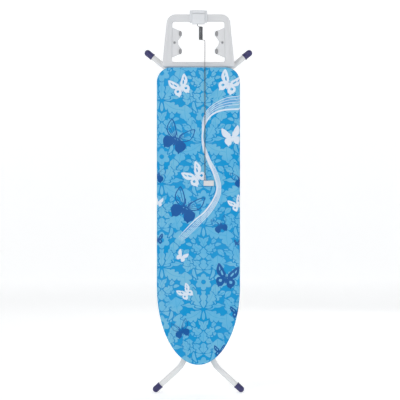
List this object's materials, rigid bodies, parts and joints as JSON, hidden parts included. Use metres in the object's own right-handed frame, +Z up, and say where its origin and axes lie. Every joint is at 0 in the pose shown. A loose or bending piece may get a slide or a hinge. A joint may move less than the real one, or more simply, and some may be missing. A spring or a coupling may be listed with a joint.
{
  "type": "ironing board",
  "caption": "Tapered folding ironing board with a padded cover, open iron rest, cord holder, crossed tube legs and a notched height lever, stored folded and upright.",
  "frame": {"origin": "middle of the width and depth, level with the lowest points of the two front feet, with the board folded and upright", "axes": "+Z up along the board from the nose to the iron rest, +X to the right across the board seen from its ironing face, +Y from the ironing face towards the legs"},
  "size_m": [0.4024, 0.1017, 1.4188],
  "materials": {
    "cover_cloth": "printed cotton, blue with a paler leaf damask and butterflies",
    "foam": "felted foam underlay",
    "elastic": "covered elastic cord",
    "painted_steel": "light grey powder coat",
    "white_paint": "smooth white powder coat",
    "white_plastic": "fine satin moulded surface",
    "grey_rubber": "matt silicone",
    "navy_rubber": "satin moulded",
    "navy_plastic": "satin moulded",
    "nylon": "natural nylon",
    "zinc_plate": "bright zinc plate",
    "spring_steel": "drawn spring wire"
  },
  "bodies": {
    "board": {"board_mesh": "painted_steel", "board_rim": "painted_steel", "foam_pad": "foam", "cover": "cover_cloth", "hem_elastic": "elastic", "iron_rest_frame": "white_plastic", "rest_pad_upper_left": "grey_rubber", "rest_pad_upper_right": "grey_rubber", "rest_pad_lower_left": "grey_rubber", "rest_pad_lower_right": "grey_rubber", "rest_screw_left": "zinc_plate", "rest_screw_right": "zinc_plate", "rest_arm_left": "zinc_plate", "rest_arm_right": "zinc_plate", "arm_screw_left": "zinc_plate", "arm_screw_right": "zinc_plate", "arm_bolt_left": "zinc_plate", "arm_bolt_right": "zinc_plate", "side_rail_left": "zinc_plate", "side_rail_right": "zinc_plate", "pivot_axle": "zinc_plate", "axle_cap_left": "nylon", "axle_cap_right": "nylon", "axle_sleeve_left": "nylon", "axle_sleeve_right": "nylon", "height_rack": "zinc_plate"},
    "inner_leg": {"inner_leg_tube_left": "white_paint", "inner_leg_tube_right": "white_paint", "inner_leg_rung_upper": "white_paint", "inner_leg_rung_lower": "white_paint", "front_foot_cap_left": "navy_rubber", "front_foot_cap_right": "navy_rubber", "cross_bolt_left": "zinc_plate", "cross_bolt_right": "zinc_plate", "cross_spacer_left": "nylon", "cross_spacer_right": "nylon", "cross_nut_left": "zinc_plate", "cross_nut_right": "zinc_plate"},
    "outer_leg": {"outer_leg_tube_left": "white_paint", "outer_leg_tube_right": "white_paint", "outer_leg_rung_upper": "white_paint", "outer_leg_rung_lower": "white_paint", "rear_foot_cap_left": "navy_rubber", "rear_foot_cap_right": "navy_rubber"},
    "carriage": {"carriage_rod": "zinc_plate", "rod_cap_left": "nylon", "rod_cap_right": "nylon", "slider_left": "nylon", "slider_right": "nylon", "lever_spring": "spring_steel"},
    "lever": {"height_lever": "zinc_plate", "pawl_pin": "zinc_plate", "lever_grip": "navy_plastic"},
    "cord_clamp": {"cord_clamp": "white_plastic", "mast_pin": "zinc_plate"},
    "thumb_screw": {"thumb_screw": "navy_plastic"},
    "mast": {"cord_spring": "spring_steel", "mast_wire": "spring_steel", "cord_clip": "white_plastic"}
  },
  "joints": [
    {"name": "leg_fold", "type": "hinge", "parent": "board", "child": "inner_leg", "pos_m": [0, -0.0142, 1.01887], "axis": [1, 0, 0], "range_deg": [0, 49]},
    {"name": "cross_pivot", "type": "hinge", "parent": "inner_leg", "child": "outer_leg", "pos_m": [0, 0.00571, 0.63887], "axis": [1, 0, 0], "range_deg": [-98, 0]},
    {"name": "carriage_pivot", "type": "hinge", "parent": "outer_leg", "child": "carriage", "pos_m": [0, -0.0142, 0.25888], "axis": [1, 0, 0], "range_deg": [0, 49]},
    {"name": "height_lever", "type": "hinge", "parent": "carriage", "child": "lever", "pos_m": [0, -0.0142, 0.25888], "axis": [-1, 0, 0], "range_deg": [0, 9], "stiffness_Nm_per_rad": 0.5, "springref_deg": -22.92},
    {"name": "clamp_slide", "type": "slide", "parent": "board", "child": "cord_clamp", "axis": [1, 0, 0], "range_m": [-0.05, 0.05]},
    {"name": "thumb_screw_turn", "type": "hinge", "parent": "cord_clamp", "child": "thumb_screw", "pos_m": [0, -0.0032, 1.391], "axis": [0, 1, 0], "range_deg": [0, 360]},
    {"name": "mast_swing", "type": "hinge", "parent": "cord_clamp", "child": "mast", "pos_m": [-0.0037, -0.0359, 1.372], "axis": [-1, 0, 0], "range_deg": [0, 100]}
  ],
  "couplings": [
    {"joint": "cross_pivot", "follows": "leg_fold", "ratio": -2},
    {"joint": "carriage_pivot", "follows": "leg_fold", "ratio": 1}
  ]
}
